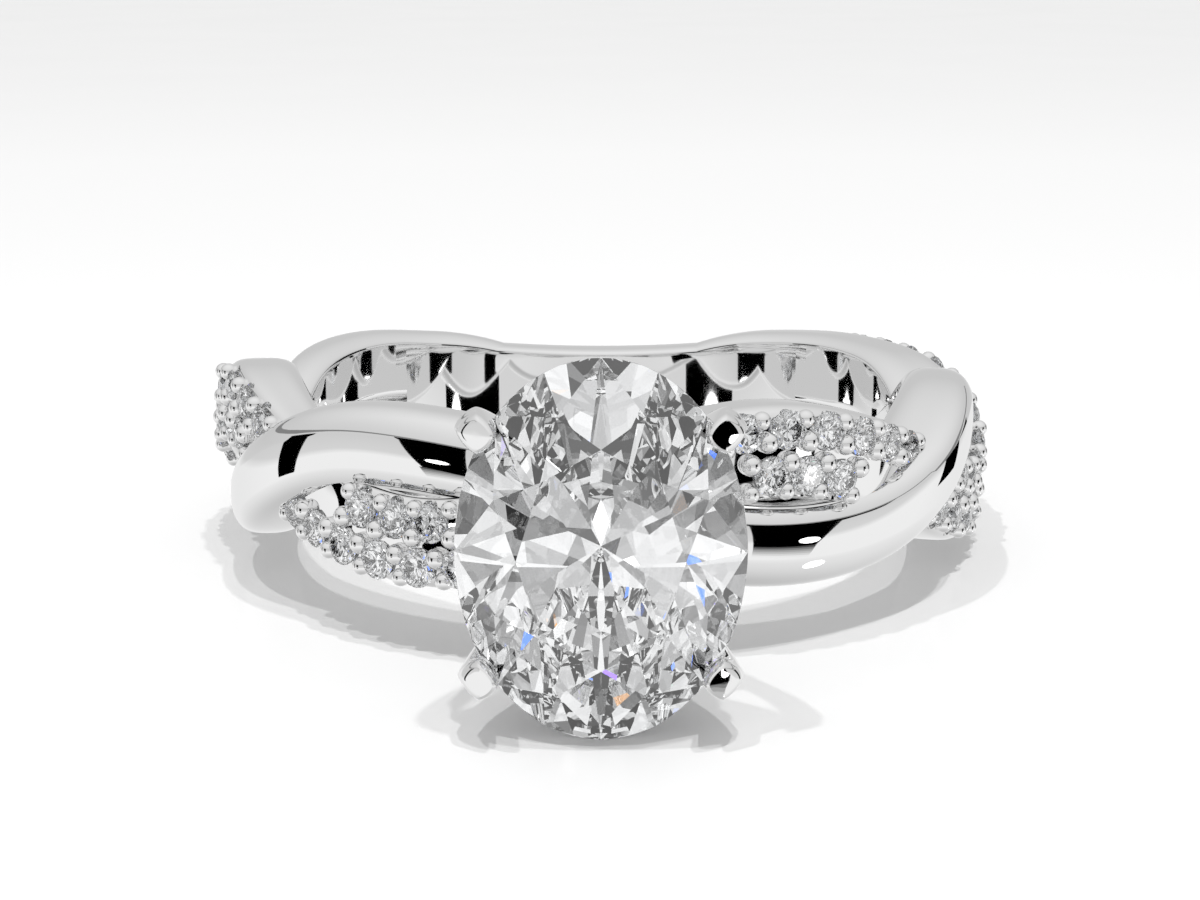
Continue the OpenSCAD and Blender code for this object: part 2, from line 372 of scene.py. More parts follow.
def creased(half_w, half_h, heel, shift):
    """Outline with a bowed face between two creases and round flanks, as shares like rounded()."""
    c = FACE_HALF_W / half_w
    top = 1 - FACE_HALF_W ** 2 / (2 * FACE_BOW_R) / half_h
    reach = FLANK_REACH * (1 - c)
    shoulder = top - reach * half_w * math.tan(FLANK_START) / half_h
    first = math.radians(CREASE_ANGLE)

    def at(a):
        if math.sin(a) <= 0:
            return rounded(heel, heel)(a)
        side, up = (1, a) if a < math.pi / 2 else (-1, math.pi - a)
        if up > first:
            x = side * c * (math.pi / 2 - up) / (math.pi / 2 - first)
            return x + shift / half_w, 1 - (x * half_w) ** 2 / (2 * FACE_BOW_R) / half_h
        u = up / first
        v = 1 - u
        x = v**3 + 3 * v * v * u + 3 * v * u * u * (c + reach) + u**3 * c
        y = 3 * v * v * u * SIDE_TOP + 3 * v * u * u * shoulder + u**3 * top
        return side * x + shift / half_w * u * u, y
    return at


def face_shift(t):
    """How far the bowed face of the plain strand lies above the strand's middle, in millimetres."""
    return FACE_SHIFT * (1 + math.sin(math.radians(t)) / math.sin(math.radians(FACE_SHIFT_AT)))


# How far the walls of the plain and of the set strand stay behind the shank's wall in the finger hole,
# so that no two faces lie in each other (mm)
PLAIN_BEHIND, SET_BEHIND = 0.001, 0.002
# Points of a section along its outside, along the finger hole and round each edge between them
OUTER_STEPS, HOLE_STEPS, ROUND_STEPS = 72, 14, 8
# Points by which a stretch of the outside is measured, and halvings that find where it meets the hole
FINE, HALVINGS = 300, 40
# The most that a rounded edge may take of the width at the hole
EDGE_SHARE = 0.3


def rounded_edge(before, corner, after):
    """Points between two others, on a curve that cuts the corner."""
    shares = [i / ROUND_STEPS for i in range(1, ROUND_STEPS)]
    return [before * (1 - u) ** 2 + corner * 2 * u * (1 - u) + after * u * u for u in shares]


def section(centre, direction, t, half_w, half_h, outline, creases=(), behind=0.0):
    """A strand's outline at a point of its path, cut off by the finger hole with its edges rounded."""
    out = outwards(t, direction)
    side = direction.cross(out)
    hole = band().finger_r / MM + behind
    edge = band().edge / MM

    def at(a):
        x, y = outline(a)
        return centre - side * half_w * x + out * half_h * y

    def reach(a):
        p = at(a)
        return math.hypot(p.x, p.y) - hole

    def crossing(lo, hi):
        for _ in range(HALVINGS):
            mid = (lo + hi) / 2
            lo, hi = (mid, hi) if reach(mid) > 0 else (lo, mid)
        return (lo + hi) / 2

    stops = [crossing(0, -math.pi / 2), *map(math.radians, creases), crossing(math.pi, 1.5 * math.pi)]
    ends = at(stops[-1]), at(stops[0])
    flat = (ends[1] - ends[0]).length
    edge = min(edge, flat * EDGE_SHARE)

    def on_hole(share):
        p = ends[0].lerp(ends[1], share)
        grow = hole / math.hypot(p.x, p.y)
        return Vector((p.x * grow, p.y * grow, p.z))

    ring = []
    parts = len(stops) - 1
    steps = OUTER_STEPS // parts
    for k in range(parts):
        arc = [at(stops[k] + (stops[k + 1] - stops[k]) * i / FINE) for i in range(FINE + 1)]
        far = measured(arc)
        first = edge if k == 0 else 0
        last = far[-1] - (edge if k == parts - 1 else 0)
        marks = range(0 if k == 0 else 1, steps + 1)
        ring += [walked(arc, far, first + (last - first) * i / steps) for i in marks]
    rim = edge / flat
    wall = [on_hole(rim + (1 - 2 * rim) * i / HOLE_STEPS) for i in range(HOLE_STEPS)] + [on_hole(1 - rim)]
    ring += rounded_edge(ring[-1], ends[0], wall[0]) + wall + rounded_edge(wall[-1], ends[1], ring[0])
    return [p * MM for p in ring]


# Steps of a strand from end to end
STRAND_STEPS = 322
# Roundness of the sections: 2 is an ellipse and more is boxier
PLAIN_HEEL, SET_CROWN, SET_HEEL = 2.3, 5, 2.6


def strand(name, plain):
    sections = []
    for i in range(STRAND_STEPS + 1):
        t = -STRAND_END + 2 * STRAND_END * i / STRAND_STEPS
        half_w = (band().plain_half_w if plain else band().set_half_w) / MM * taper(t)
        half_h = half_height(strand_out(t, plain))
        if plain:
            outline = creased(half_w, half_h, PLAIN_HEEL, face_shift(t))
            creases, behind = (CREASE_ANGLE, 180 - CREASE_ANGLE), PLAIN_BEHIND
        else:
            outline = rounded(SET_CROWN, SET_HEEL)
            creases, behind = (), SET_BEHIND
        sections.append(section(middle(t, plain), along(t, plain), t, half_w, half_h,
                                outline, creases, behind))
    return swept(name, sections)


# Angle where the shank starts, and its steps from end to end
SHANK_START, SHANK_STEPS = 134.3, 120
# Towards its ends the shank grows wider, by this share and at most to this many times, and thinner (mm)
SHANK_FLARE, SHANK_FLARE_MAX, SHANK_FALL = 0.71, 1.37, 0.5
SHANK_CROWN, SHANK_HEEL = 3, 4


def shank(name):
    sections = []
    for i in range(SHANK_STEPS + 1):
        t = SHANK_START + 2 * (180 - SHANK_START) * i / SHANK_STEPS
        u = t - 360 if t > 180 else t
        blend = (180 - abs(u)) / (180 - SHANK_START)
        half_w = band().shank_half_w / MM * min(SHANK_FLARE_MAX, 1 + SHANK_FLARE * blend**2)
        r = band().strand_r / MM - SHANK_FALL * blend**4
        centre = on_path(u, 0, (r + band().finger_r / MM - BORE_DIP) / 2)
        a = math.radians(u)
        sections.append(section(centre, Vector((math.cos(a), math.sin(a), 0)), u, half_w, half_height(r),
                                rounded(SHANK_CROWN, SHANK_HEEL)))
    return swept(name, sections)


# Accent stones and beads on the set strand

# Angle of the first stone of the upper and of the lower row, and of the last that may be set
FIRST_UPPER, FIRST_LOWER, LAST_ACCENT = 19.5, 23.4, 141
# The set strand shows whole where it lies over the other by this share of the crossing's lift
SHOWS_OVER = -0.4
# Radius of a stone with its cup, and how much of it the plain strand may cover (mm)
HELD_R, MAY_COVER = 0.47, 0.2
SIDES = (("accent_stones_right", 1), ("accent_stones_left", -1))


def on_set_strand(t, up, out):
    """Matrix to the outer face of the set strand, its Z outwards and its Y across the strand."""
    d = along(t, False)
    n = outwards(t, d)
    v = n.cross(d)
    p = middle(t, False) + n * (half_height(strand_out(t, False)) + out) + v * up
    matrix = Matrix((d, v, n)).transposed().to_4x4()
    matrix.translation = p * MM
    return matrix


def accent_places():
    pitch = math.degrees(stones().accent_pitch)
    places = []
    for first, up in ((FIRST_UPPER, stones().upper_row / MM), (FIRST_LOWER, -stones().lower_row / MM)):
        places += [(first + i * pitch, up) for i in range(int((LAST_ACCENT - first) / pitch) + 1)]
    return places


def is_free(t, up, r):
    """Whether a spot of that radius shows: its strand passes over the other, or lies clear beside it."""
    over = lift(t) < SHOWS_OVER * band().cross_lift / MM
    clear = abs(strand_z(t, False) + up - strand_z(t, True)) > band().plain_half_w / MM + r
    return over or clear


def shown_accents(side):
    """Angle and height of each accent stone that shows: on the side towards -X the rows change places."""
    places = [(side * t, side * up) for t, up in accent_places()]
    return [p for p in places if is_free(*p, HELD_R - MAY_COVER)]


def brilliant(name, w, l, crown, pavilion, girdle, table=0.57, star=0.78, half=0.24, arc=1):
    """Round or oval brilliant with its girdle at the origin and its table towards +Z.

    It has the table, 8 stars, 8 kites and 16 halves above the girdle, and 16 halves and 8 mains below,
    a half every 22.5 degrees. The reach of table, stars and lower halves is a share of the radius, and
    arc is the number of steps of the girdle along a half.
    """
    g = girdle / 2

    def polar(r, a, z):
        return Vector((r * math.cos(math.radians(a)), r * math.sin(math.radians(a)), z))

    def plane_z(apex, z, q, a):
        first, second = polar(1, 22.5 * q, z), polar(1, 22.5 * (q + 1), z)
        n = (first - apex).cross(second - apex)
        x, y = math.cos(math.radians(a)), math.sin(math.radians(a))
        return apex.z - (n.x * (x - apex.x) + n.y * (y - apex.y)) / n.z

    fall = math.cos(math.radians(22.5))
    star_z = g + crown * (1 - star * fall) / (1 - table)
    half_z = -g - pavilion * (1 - half * fall)
    tables = [polar(table, 45 * k, g + crown) for k in range(8)]
    stars = [polar(star, 45 * k + 22.5, star_z) for k in range(8)]
    halves = [polar(half, 45 * k + 22.5, half_z) for k in range(8)]
    upper, lower = [], []
    for j in range(16 * arc):
        a, q = 22.5 * j / arc, j // arc
        upper.append(polar(1, a, plane_z(stars[q // 2], g, q, a)))
        lower.append(polar(1, a, plane_z(halves[q // 2], -g, q, a)))
    points = tables + stars + halves + [Vector((0, 0, -g - pavilion))] + upper + lower
    up, low, n = 25, 25 + 16 * arc, 16 * arc
    faces = [tuple(range(8))]
    faces += [(k, 8 + k, (k + 1) % 8) for k in range(8)]
    faces += [(k, 8 + (k + 7) % 8, up + 2 * arc * k, 8 + k) for k in range(8)]
    faces += [(8 + q // 2, *[up + (q * arc + i) % n for i in range(arc + 1)]) for q in range(16)]
    faces += [(up + (j + 1) % n, up + j, low + j, low + (j + 1) % n) for j in range(n)]
    faces += [(*[low + (q * arc + i) % n for i in range(arc, -1, -1)], 16 + q // 2) for q in range(16)]
    faces += [(low + 2 * arc * k, 16 + (k + 7) % 8, 24, 16 + k) for k in range(8)]
    mesh = mesh_of(name, [(p.x * w / 2, p.y * l / 2, p.z) for p in points], faces)
    outward(mesh)
    return mesh


def turns(count):
    """Angles in equal steps all round."""
    return [2 * math.pi * i / count for i in range(count)]


def turned(rows, sides, name):
    """Solid of revolution about Z through (radius, height) rows, closed at both ends."""
    rings = [[Vector((r * math.cos(a), r * math.sin(a), z)) for a in turns(sides)] for r, z in rows]
    return swept(name, rings)


def loop(name, across, lengthwise, wire, steps, sides):
    """Round wire bent to an ellipse about Z."""
    rings = []
    for a in turns(steps):
        rings.append([Vector(((across + wire * math.cos(b)) * math.cos(a),
                              (lengthwise + wire * math.cos(b)) * math.sin(a), wire * math.sin(b)))
                      for b in turns(sides)])
    return swept(name, rings, closed=True)


# Materials


def material(name):
    """A new material, with its tree, its Principled shader and the place on the object."""
    made = bpy.data.materials.new(name)
    made.use_nodes = True
    tree = made.node_tree
    shader = tree.nodes["Principled BSDF"]
    place = tree.nodes.new("ShaderNodeTexCoord")
    return made, tree, shader, place.outputs["Object"]


def noise(tree, place, scale, detail):
    node = tree.nodes.new("ShaderNodeTexNoise")
    node.inputs["Scale"].default_value = scale
    node.inputs["Detail"].default_value = detail
    tree.links.new(place, node.inputs["Vector"])
    return node.outputs["Fac"]


def spread_from(tree, value, first, last, low, high):
    """Maps a value from one range to another."""
    node = tree.nodes.new("ShaderNodeMapRange")
    for name, number in (("From Min", first), ("From Max", last), ("To Min", low), ("To Max", high)):
        node.inputs[name].default_value = number
    tree.links.new(value, node.inputs["Value"])
    return node.outputs["Result"]


def spread(tree, value, low, high):
    """Maps a 0 to 1 value to a range."""
    return spread_from(tree, value, 0, 1, low, high)


# Wear of the polish: how fine its cloudy patches and its grain are, how deep the grain is (mm) and how
# much it shows, and the least and greatest roughness as shares of the finish's
WEAR_SCALE, GRAIN_SCALE = 900, 4000
GRAIN_DEPTH, GRAIN_SHOWS = 0.002, 0.03
ROUGH_SPAN = 0.4, 1.6
# Faint cold tint in parts of a stone, and how fine it is
COLD_TINT, TINT_SCALE = (0.97, 0.985, 1.0), 300


def polished_metal():
    finish = bpy.context.scene.ring_finish
    made, tree, shader, place = material("polished_white_gold")
    shader.inputs["Metallic"].default_value = 1.0
    shader.inputs["Base Color"].default_value = (*finish.metal, 1)
    wear = noise(tree, place, WEAR_SCALE, 4)
    rough = spread(tree, wear, *(finish.metal_rough * share for share in ROUGH_SPAN))
    tree.links.new(rough, shader.inputs["Roughness"])
    bump = tree.nodes.new("ShaderNodeBump")
    bump.inputs["Strength"].default_value = GRAIN_SHOWS
    bump.inputs["Distance"].default_value = GRAIN_DEPTH * MM
    tree.links.new(noise(tree, place, GRAIN_SCALE, 2), bump.inputs["Height"])
    tree.links.new(bump.outputs["Normal"], shader.inputs["Normal"])
    return made


def cut_stone(name):
    finish = bpy.context.scene.ring_finish
    made, tree, shader, place = material(name)
    tint = tree.nodes.new("ShaderNodeMix")
    tint.data_type = "RGBA"
    tint.inputs["A"].default_value = (*finish.stone, 1)
    tint.inputs["B"].default_value = (*COLD_TINT, 1)
    tree.links.new(noise(tree, place, TINT_SCALE, 2), tint.inputs["Factor"])
    tree.links.new(tint.outputs["Result"], shader.inputs["Base Color"])
    shader.inputs["Transmission Weight"].default_value = 1.0
    shader.inputs["IOR"].default_value = finish.stone_ior
    shader.inputs["Roughness"].default_value = 0.0
    return made


# Camera and studio

# Width of the picture and shift of its middle, in pixels, and width of the camera's sensor (mm)
PICTURE_W, SHIFT_PX, SENSOR_W = 1200, -1, 36
# Nearest and farthest that the camera sees, in metres
CLIP = 0.001, 10


class RING_OT_camera(bpy.types.Operator):
    """Place the camera in front of the ring, a little above it"""

    bl_idname = "ring.camera"
    bl_label = "Camera"

    def execute(self, context):
        studio = context.scene.ring_studio
        data = bpy.data.cameras.new("camera")
        camera = bpy.data.objects.new("camera", data)
        context.scene.collection.objects.link(camera)
        context.scene.camera = camera
        data.sensor_width = SENSOR_W
        data.lens = studio.focal_px / PICTURE_W * SENSOR_W
        data.shift_x = SHIFT_PX / PICTURE_W
        data.clip_start, data.clip_end = CLIP
        e, a = studio.elevation, studio.look_down
        eye = Vector((0, -math.cos(e), math.sin(e))) * studio.distance
        back = Vector((0, -math.cos(a), math.sin(a)))
        up = Vector((0, math.sin(a), math.cos(a)))
        pose = Matrix((Vector((1, 0, 0)), up, back)).transposed().to_4x4()
        pose.translation = eye
        camera.matrix_world = laid_down() @ pose
        return {"FINISHED"}


# Flags that the polished metal mirrors in black, and their corners: azimuth from the stone's side
# towards +X and elevation, in degrees
FLAGS = (
    ("flag_left", ((-54, -17), (-37, -20), (-33, 14), (-62, 14))),
    ("flag_right", ((43, -16), (65.5, -16), (72.5, 14), (43, 14))),
    ("flag_far_left", ((-91, -19), (-84, -19), (-86.5, 12), (-100, 12))),
    ("flag_far_right", ((106, -13), (122, -11), (128, 12), (108, 14))),
)
# Soft lower edges of the flags: first and last azimuth and the two elevations of each
FADES = (("fade_left", (-55, -38), (-17, -26)), ("fade_right", (43, 65.5), (-16, -26)))
FADE_STEPS = 6
# Thin dark line over the horizon, which marks the creases: brightness, azimuths and elevations
LINE = (0.25, (-150, 150), (14.5, 17.5))
# Round lamps, nearer than the flags: place and half sizes
LAMPS = (
    ("lamp_left", (-47, -10.5), (4.5, 1.6)),
    ("lamp_right", (62.5, -11.5), (3.3, 2.6)),
    ("lamp_low", (76, -40), (4, 3.5)),
)
LAMP_LIGHT = 3.0
# Coloured lights that only the stones see, for the flashes in them: colour, place and half size
FIRE = (
    ("fire_blue", (0.1, 0.25, 1.0), (-25, 50), 7),
    ("fire_violet", (0.35, 0.2, 1.0), (150, 40), 6),
    ("fire_orange", (1.0, 0.45, 0.1), (60, 62), 4),
    ("fire_green", (0.3, 0.9, 0.6), (-120, 55), 4),
)
FIRE_LIGHT = 2.0
# Small white lights all round that only the stones see: their number, half size and brightness
SPARKS, SPARK_SIZE, SPARK_LIGHT = 24, 2.5, 3.0
GOLDEN_ANGLE = 137.5
# Distance of the flags and of the lamps from the ring's middle, in metres
FLAG_R, LAMP_R = 0.5, 0.4
# Sides of a round lamp, and the angle that one step of a bent board spans
DISC_SIDES, STRIP_STEP = 24, 10
# Brightness of the studio walls by the height of the direction, from straight down to straight up
WALLS = (
    (-1.0, 0.55), (-0.75, 0.74), (-0.45, 0.96), (-0.17, 0.97), (-0.1, 0.74), (0.1, 0.68), (0.35, 0.7),
    (0.65, 0.8), (1.0, 0.9),
)
# Light of the walls in front of the ring and behind it, and how far back the change starts and ends
FRONT_LIGHT, BACK_LIGHT = 1.0, 0.9
BACK_FROM, BACK_TO = 0.1, 0.9
# Patches of light and shade that the stones see: how fine they are, the span of random values that
# is used, and the brightness at its two ends
PATCH_SCALE = 5
PATCHES = (0.22, 0.7, 0.06, 1.3)
# How often light may be bent and how often it may be mirrored inside the stones
BENDS, MIRRORINGS = 32, 11
# Suns for the shadows: strength, azimuth, elevation and size, in degrees
SUNS = ((0.62, -70, 74, 1.5), (0.62, 15, 78, 1.5), (0.62, 60, 80, 2))
# The floor: half its size in metres, its gloss, its roughness and how fine that varies
FLOOR_HALF, FLOOR_GLOSS, FLOOR_ROUGH, FLOOR_SCALE = 1.5, 0.05, (0.1, 0.14), 60


class RING_OT_stage(bpy.types.Operator):
    """Lay the floor, hang the flags and light the studio"""

    bl_idname = "ring.stage"
    bl_label = "Floor and light"

    def towards(self, azimuth, elevation):
        a, e = math.radians(azimuth), math.radians(elevation)
        return Vector((math.sin(a) * math.cos(e), -math.cos(a) * math.cos(e), math.sin(e)))

    def board(self, name, colour, points, faces):
        """A glowing or black board that shows in mirror images alone."""
        mesh = mesh_of(name, points, faces)
        mesh.transform(laid_down())
        board = bpy.data.objects.new(name, mesh)
        bpy.context.scene.collection.objects.link(board)
        made = bpy.data.materials.new(name)
        made.use_nodes = True
        tree = made.node_tree
        tree.nodes.remove(tree.nodes["Principled BSDF"])
        glow = tree.nodes.new("ShaderNodeEmission")
        glow.inputs["Color"].default_value = (*colour, 1)
        tree.links.new(glow.outputs["Emission"], tree.nodes["Material Output"].inputs["Surface"])
        mesh.materials.append(made)
        board.visible_camera = board.visible_diffuse = False
        board.visible_shadow = board.visible_transmission = False
        return board

    def panel(self, name, colour, outline, away):
        points = [self.towards(*corner) * away for corner in outline]
        return self.board(name, colour, points, [tuple(range(len(points)))])

    def disc(self, name, colour, at, half):
        rim = [(at[0] + half[0] * math.cos(a), at[1] + half[1] * math.sin(a)) for a in turns(DISC_SIDES)]
        return self.panel(name, colour, rim, LAMP_R)

    def stone_light(self, name, colour, at, half):
        """A round light that shows only through the stones."""
        light = self.disc(name, colour, at, (half, half))
        light.visible_transmission, light.visible_glossy = True, False

    def strip(self, name, light, azimuths, elevations):
        """A board bent round the ring."""
        first, last = azimuths
        steps = math.ceil(abs(last - first) / STRIP_STEP)
        stops = [first + (last - first) * i / steps for i in range(steps + 1)]
        points = [self.towards(azimuth, height) * FLAG_R for azimuth in stops for height in elevations]
        faces = [(2 * i, 2 * i + 2, 2 * i + 3, 2 * i + 1) for i in range(steps)]
        return self.board(name, (light,) * 3, points, faces)

    def floor(self, finish):
        corners = [(x * FLOOR_HALF, y * FLOOR_HALF, 0) for x, y in ((-1, -1), (1, -1), (1, 1), (-1, 1))]
        mesh = mesh_of("floor", corners, [(0, 1, 2, 3)])
        floor = bpy.data.objects.new("floor", mesh)
        bpy.context.scene.collection.objects.link(floor)
        made, tree, shader, place = material("floor_white")
        shader.inputs["Base Color"].default_value = (*finish.floor, 1)
        shader.inputs["Specular IOR Level"].default_value = FLOOR_GLOSS
        rough = spread(tree, noise(tree, place, FLOOR_SCALE, 2), *FLOOR_ROUGH)
        tree.links.new(rough, shader.inputs["Roughness"])
        mesh.materials.append(made)
        floor.visible_glossy = floor.visible_transmission = False

    def either(self, tree, choice, first, second):
        """The first shader where the choice is 0, and the second where it is 1."""
        mix = tree.nodes.new("ShaderNodeMixShader")
        for i, value in enumerate((choice, first, second)):
            tree.links.new(value, mix.inputs[i])
        return mix.outputs["Shader"]

    def paper(self, tree, studio, rays):
        """White paper behind the ring for the camera, and an even light for matt surfaces."""
        paper = tree.nodes["Background"]
        paper.inputs["Color"].default_value = (1, 1, 1, 1)
        strength = spread(tree, rays.outputs["Is Camera Ray"], studio.dome, 1.0)
        tree.links.new(strength, paper.inputs["Strength"])
        return paper.outputs["Background"]

    def walls(self, tree, direction):
        """The studio's walls, which the metal mirrors."""
        split = tree.nodes.new("ShaderNodeSeparateXYZ")
        tree.links.new(direction, split.inputs["Vector"])
        ramp = tree.nodes.new("ShaderNodeValToRGB")
        tree.links.new(spread_from(tree, split.outputs["Z"], -1, 1, 0, 1), ramp.inputs["Fac"])
        points = ramp.color_ramp.elements
        while len(points) < len(WALLS):
            points.new(0.5)
        for point, (height, light) in zip(points, WALLS):
            point.position = (height + 1) / 2
            point.color = (light, light, light, 1)
        walls = tree.nodes.new("ShaderNodeBackground")
        tree.links.new(ramp.outputs["Color"], walls.inputs["Color"])
        behind = spread_from(tree, split.outputs["Y"], BACK_FROM, BACK_TO, FRONT_LIGHT, BACK_LIGHT)
        tree.links.new(behind, walls.inputs["Strength"])
        return walls.outputs["Background"]

    def patches(self, tree, direction):
        """Light and shade on all sides, which the stones break up into their sparkle."""
        cells = tree.nodes.new("ShaderNodeTexVoronoi")
        cells.inputs["Scale"].default_value = PATCH_SCALE
        tree.links.new(direction, cells.inputs["Vector"])
        grey = tree.nodes.new("ShaderNodeRGBToBW")
        tree.links.new(cells.outputs["Color"], grey.inputs["Color"])
        patches = tree.nodes.new("ShaderNodeBackground")
        tree.links.new(spread_from(tree, grey.outputs["Val"], *PATCHES), patches.inputs["Strength"])
        return patches.outputs["Background"]

    def sky(self, studio):
        """The world: paper, walls or patches, by the kind of ray that meets it."""
        world = bpy.data.worlds.new("studio")
        bpy.context.scene.world = world
        world.use_nodes = True
        tree = world.node_tree
        rays = tree.nodes.new("ShaderNodeLightPath")
        direction = tree.nodes.new("ShaderNodeTexCoord").outputs["Generated"]
        walls, patches = self.walls(tree, direction), self.patches(tree, direction)
        mirrored = self.either(tree, rays.outputs["Is Glossy Ray"], self.paper(tree, studio, rays), walls)
        seen = self.either(tree, rays.outputs["Is Transmission Ray"], mirrored, patches)
        tree.links.new(seen, tree.nodes["World Output"].inputs["Surface"])

    def sun(self, i, strength, azimuth, elevation, size):
        data = bpy.data.lights.new("sun_%d" % i, "SUN")
        data.energy = strength
        data.angle = math.radians(size)
        sun = bpy.data.objects.new(data.name, data)
        bpy.context.scene.collection.objects.link(sun)
        sun.rotation_euler = self.towards(azimuth, elevation).to_track_quat("Z", "Y").to_euler()
        sun.visible_glossy = sun.visible_transmission = False

    def execute(self, context):
        context.scene.view_settings.view_transform = "Standard"
        light = context.scene.cycles
        light.max_bounces = light.transmission_bounces = BENDS
        light.glossy_bounces = MIRRORINGS
        self.floor(context.scene.ring_finish)
        self.sky(context.scene.ring_studio)
        for name, outline in FLAGS:
            self.panel(name, (0, 0, 0), outline, FLAG_R)
        for name, azimuths, (top, bottom) in FADES:
            stops = [top + (bottom - top) * i / FADE_STEPS for i in range(FADE_STEPS + 1)]
            for k in range(FADE_STEPS):
                self.strip("%s_%d" % (name, k), (k + 0.5) / FADE_STEPS, azimuths, stops[k:k + 2])
        self.strip("dark_line", *LINE)
        for name, at, half in LAMPS:
            self.disc(name, (LAMP_LIGHT,) * 3, at, half)
        for name, hue, at, half in FIRE:
            self.stone_light(name, [FIRE_LIGHT * c for c in hue], at, half)
        for i in range(SPARKS):
            height = math.degrees(math.asin(2 * (i + 0.5) / SPARKS - 1))
            self.stone_light("spark_%d" % i, (SPARK_LIGHT,) * 3, (GOLDEN_ANGLE * i, height), SPARK_SIZE)
        for i, row in enumerate(SUNS):
            self.sun(i, *row)
        return {"FINISHED"}


# Pieces

# Angles above which an edge of the band, the claws, their rails and the small pieces is shaded sharp
BAND_SHARP, CLAW_SHARP, RAIL_SHARP, SMALL_SHARP = 16, 30, 40, 60
# Cup under an accent stone and scallop beside it in the strand's edge, as radius and height in stone
# diameters, and how far each lies over the strand's outer face (mm)
CUP, CUP_OUT = ((0.2, -0.42), (0.52, -0.03), (0.52, 0.6)), 0.04
SCALLOP, SCALLOP_OUT = ((0.27, 0.38), (0.27, 1.2)), 0.08
POCKET_SIDES = 20


class RING_OT_band(bpy.types.Operator):
    """Twist the plain and the stone-set strand round the hole and join them in the shank"""

    bl_idname = "ring.band"
    bl_label = "Band"

    def set_strand(self):
        """The set strand with its cups and scallops, cut in turns so that no two cutters in one touch."""
        d = stones().accent_d
        cup, scallop = (turned([(r * d, h * d) for r, h in rows], POCKET_SIDES, "cutter")
                        for rows in (CUP, SCALLOP))
        lie_over = Matrix.Translation((0, 0, SCALLOP_OUT * MM)) @ Matrix.Rotation(-math.pi / 2, 4, "X")
        cups, scallops = [], []
        for t, up in shown_accents(1) + shown_accents(-1):
            turn = Matrix.Rotation(0 if up > 0 else math.pi, 4, "Z")
            cups.append((cup, on_set_strand(t, up, CUP_OUT)))
            scallops.append((scallop, on_set_strand(t, up, 0) @ turn @ lie_over))
        mesh = strand("set_strand", False)
        for tools in cups, scallops:
            for every_other in tools[0::2], tools[1::2]:
                mesh = cut(mesh, joined("cutter", every_other))
        return mesh

    def execute(self, context):
        metal = polished_metal()
        plain = finished("plain_strand", strand("plain_strand", True), metal, BAND_SHARP)
        back = finished("shank", shank("shank"), metal, BAND_SHARP)
        pave = finished("set_strand", self.set_strand(), metal, BAND_SHARP)
        for piece in (plain, back, pave):
            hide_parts("ring_mount")
        return {"FINISHED"}


# Accent stone: heights of crown, pavilion and girdle in diameters, reach of the table and of the lower
# halves, how far its girdle lies over the strand (mm), and its turn against the stone before it
GEM_CROWN, GEM_PAVILION, GEM_GIRDLE = 0.155, 0.43, 0.02
GEM_TABLE, GEM_HALF = 0.56, 0.3
GEM_OUT, GEM_TURN = 0.06, 17
# Bead: root and tip as radius and height in bead radii, and the angles between which it is a ball
BEAD_ROOT, BEAD_TIP, BEAD_ANGLES = (0.72, -1.6), (0.02, 1.0), range(-40, 90, 10)
BEAD_SIDES = 20
# Beads of the upper and of the lower row, along its edge and inside: distance from the middle of the
# row (mm), lead round the finger in degrees, and size against the beads along the edge
BEAD_LINES = (((0.275, 0.8, 1.0), (-0.275, 0.0, 1.15)), ((-0.355, 0.9, 1.0), (0.355, 0.5, 1.15)))
# How far a bead's middle lies over the strand, and how far it may reach under the plain strand (mm)
BEAD_OUT, BEAD_SHOWS = 0.08, -0.2


class RING_OT_accents(bpy.types.Operator):
    """Set the two rows of accent stones and raise the beads between them"""

    bl_idname = "ring.accents"
    bl_label = "Accent stones"

    def set_stones(self):
        d = stones().accent_d
        gem = brilliant("gem", d, d, GEM_CROWN * d, GEM_PAVILION * d, GEM_GIRDLE * d,
                        table=GEM_TABLE, half=GEM_HALF)
        stone = cut_stone("accent_stone")
        for name, side in SIDES:
            gems = []
            for i, (t, up) in enumerate(shown_accents(side)):
                turn = Matrix.Rotation(math.radians(GEM_TURN * i % 45), 4, "Z")
                gems.append((gem, on_set_strand(t, up, GEM_OUT) @ turn))
            piece = finished(name, joined(name, gems), stone)
            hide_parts(name)

    def bead_places(self):
        """Size of the bead at each angle and height where one shows, so that neighbours share theirs."""
        pitch = math.degrees(stones().accent_pitch)
        spots = {}
        for _, side in SIDES:
            for t, up in shown_accents(side):
                lines = BEAD_LINES[0 if side * up > 0 else 1]
                for step in (-0.5, 0.5):
                    for away, lead, size in lines:
                        at = (round(t + step * pitch - side * lead, 3), round(up + side * away, 3))
                        if is_free(*at, BEAD_SHOWS) and abs(at[0]) < LAST_ACCENT + pitch:
                            spots[at] = size
        return spots

    def raise_beads(self):
        ball = [(math.cos(a), math.sin(a)) for a in map(math.radians, BEAD_ANGLES)]
        r = stones().bead_r
        bead = turned([(r * x, r * z) for x, z in (BEAD_ROOT, *ball, BEAD_TIP)], BEAD_SIDES, "bead")
        beads = []
        for at, size in self.bead_places().items():
            beads.append((bead, on_set_strand(*at, BEAD_OUT) @ Matrix.Scale(size, 4)))
        metal = bpy.data.materials["polished_white_gold"]
        piece = finished("beads", joined("beads", beads), metal, SMALL_SHARP)
        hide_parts("ring_mount")

    def execute(self, context):
        self.set_stones()
        self.raise_beads()
        return {"FINISHED"}


# Centre stone: heights of crown, pavilion and girdle (mm), and steps of the girdle along a half
CROWN, PAVILION, GIRDLE, GIRDLE_ARC = 0.95, 2.75, 0.09, 6
# Air between the centre stone and the claws (mm)
STONE_AIR = 0.02


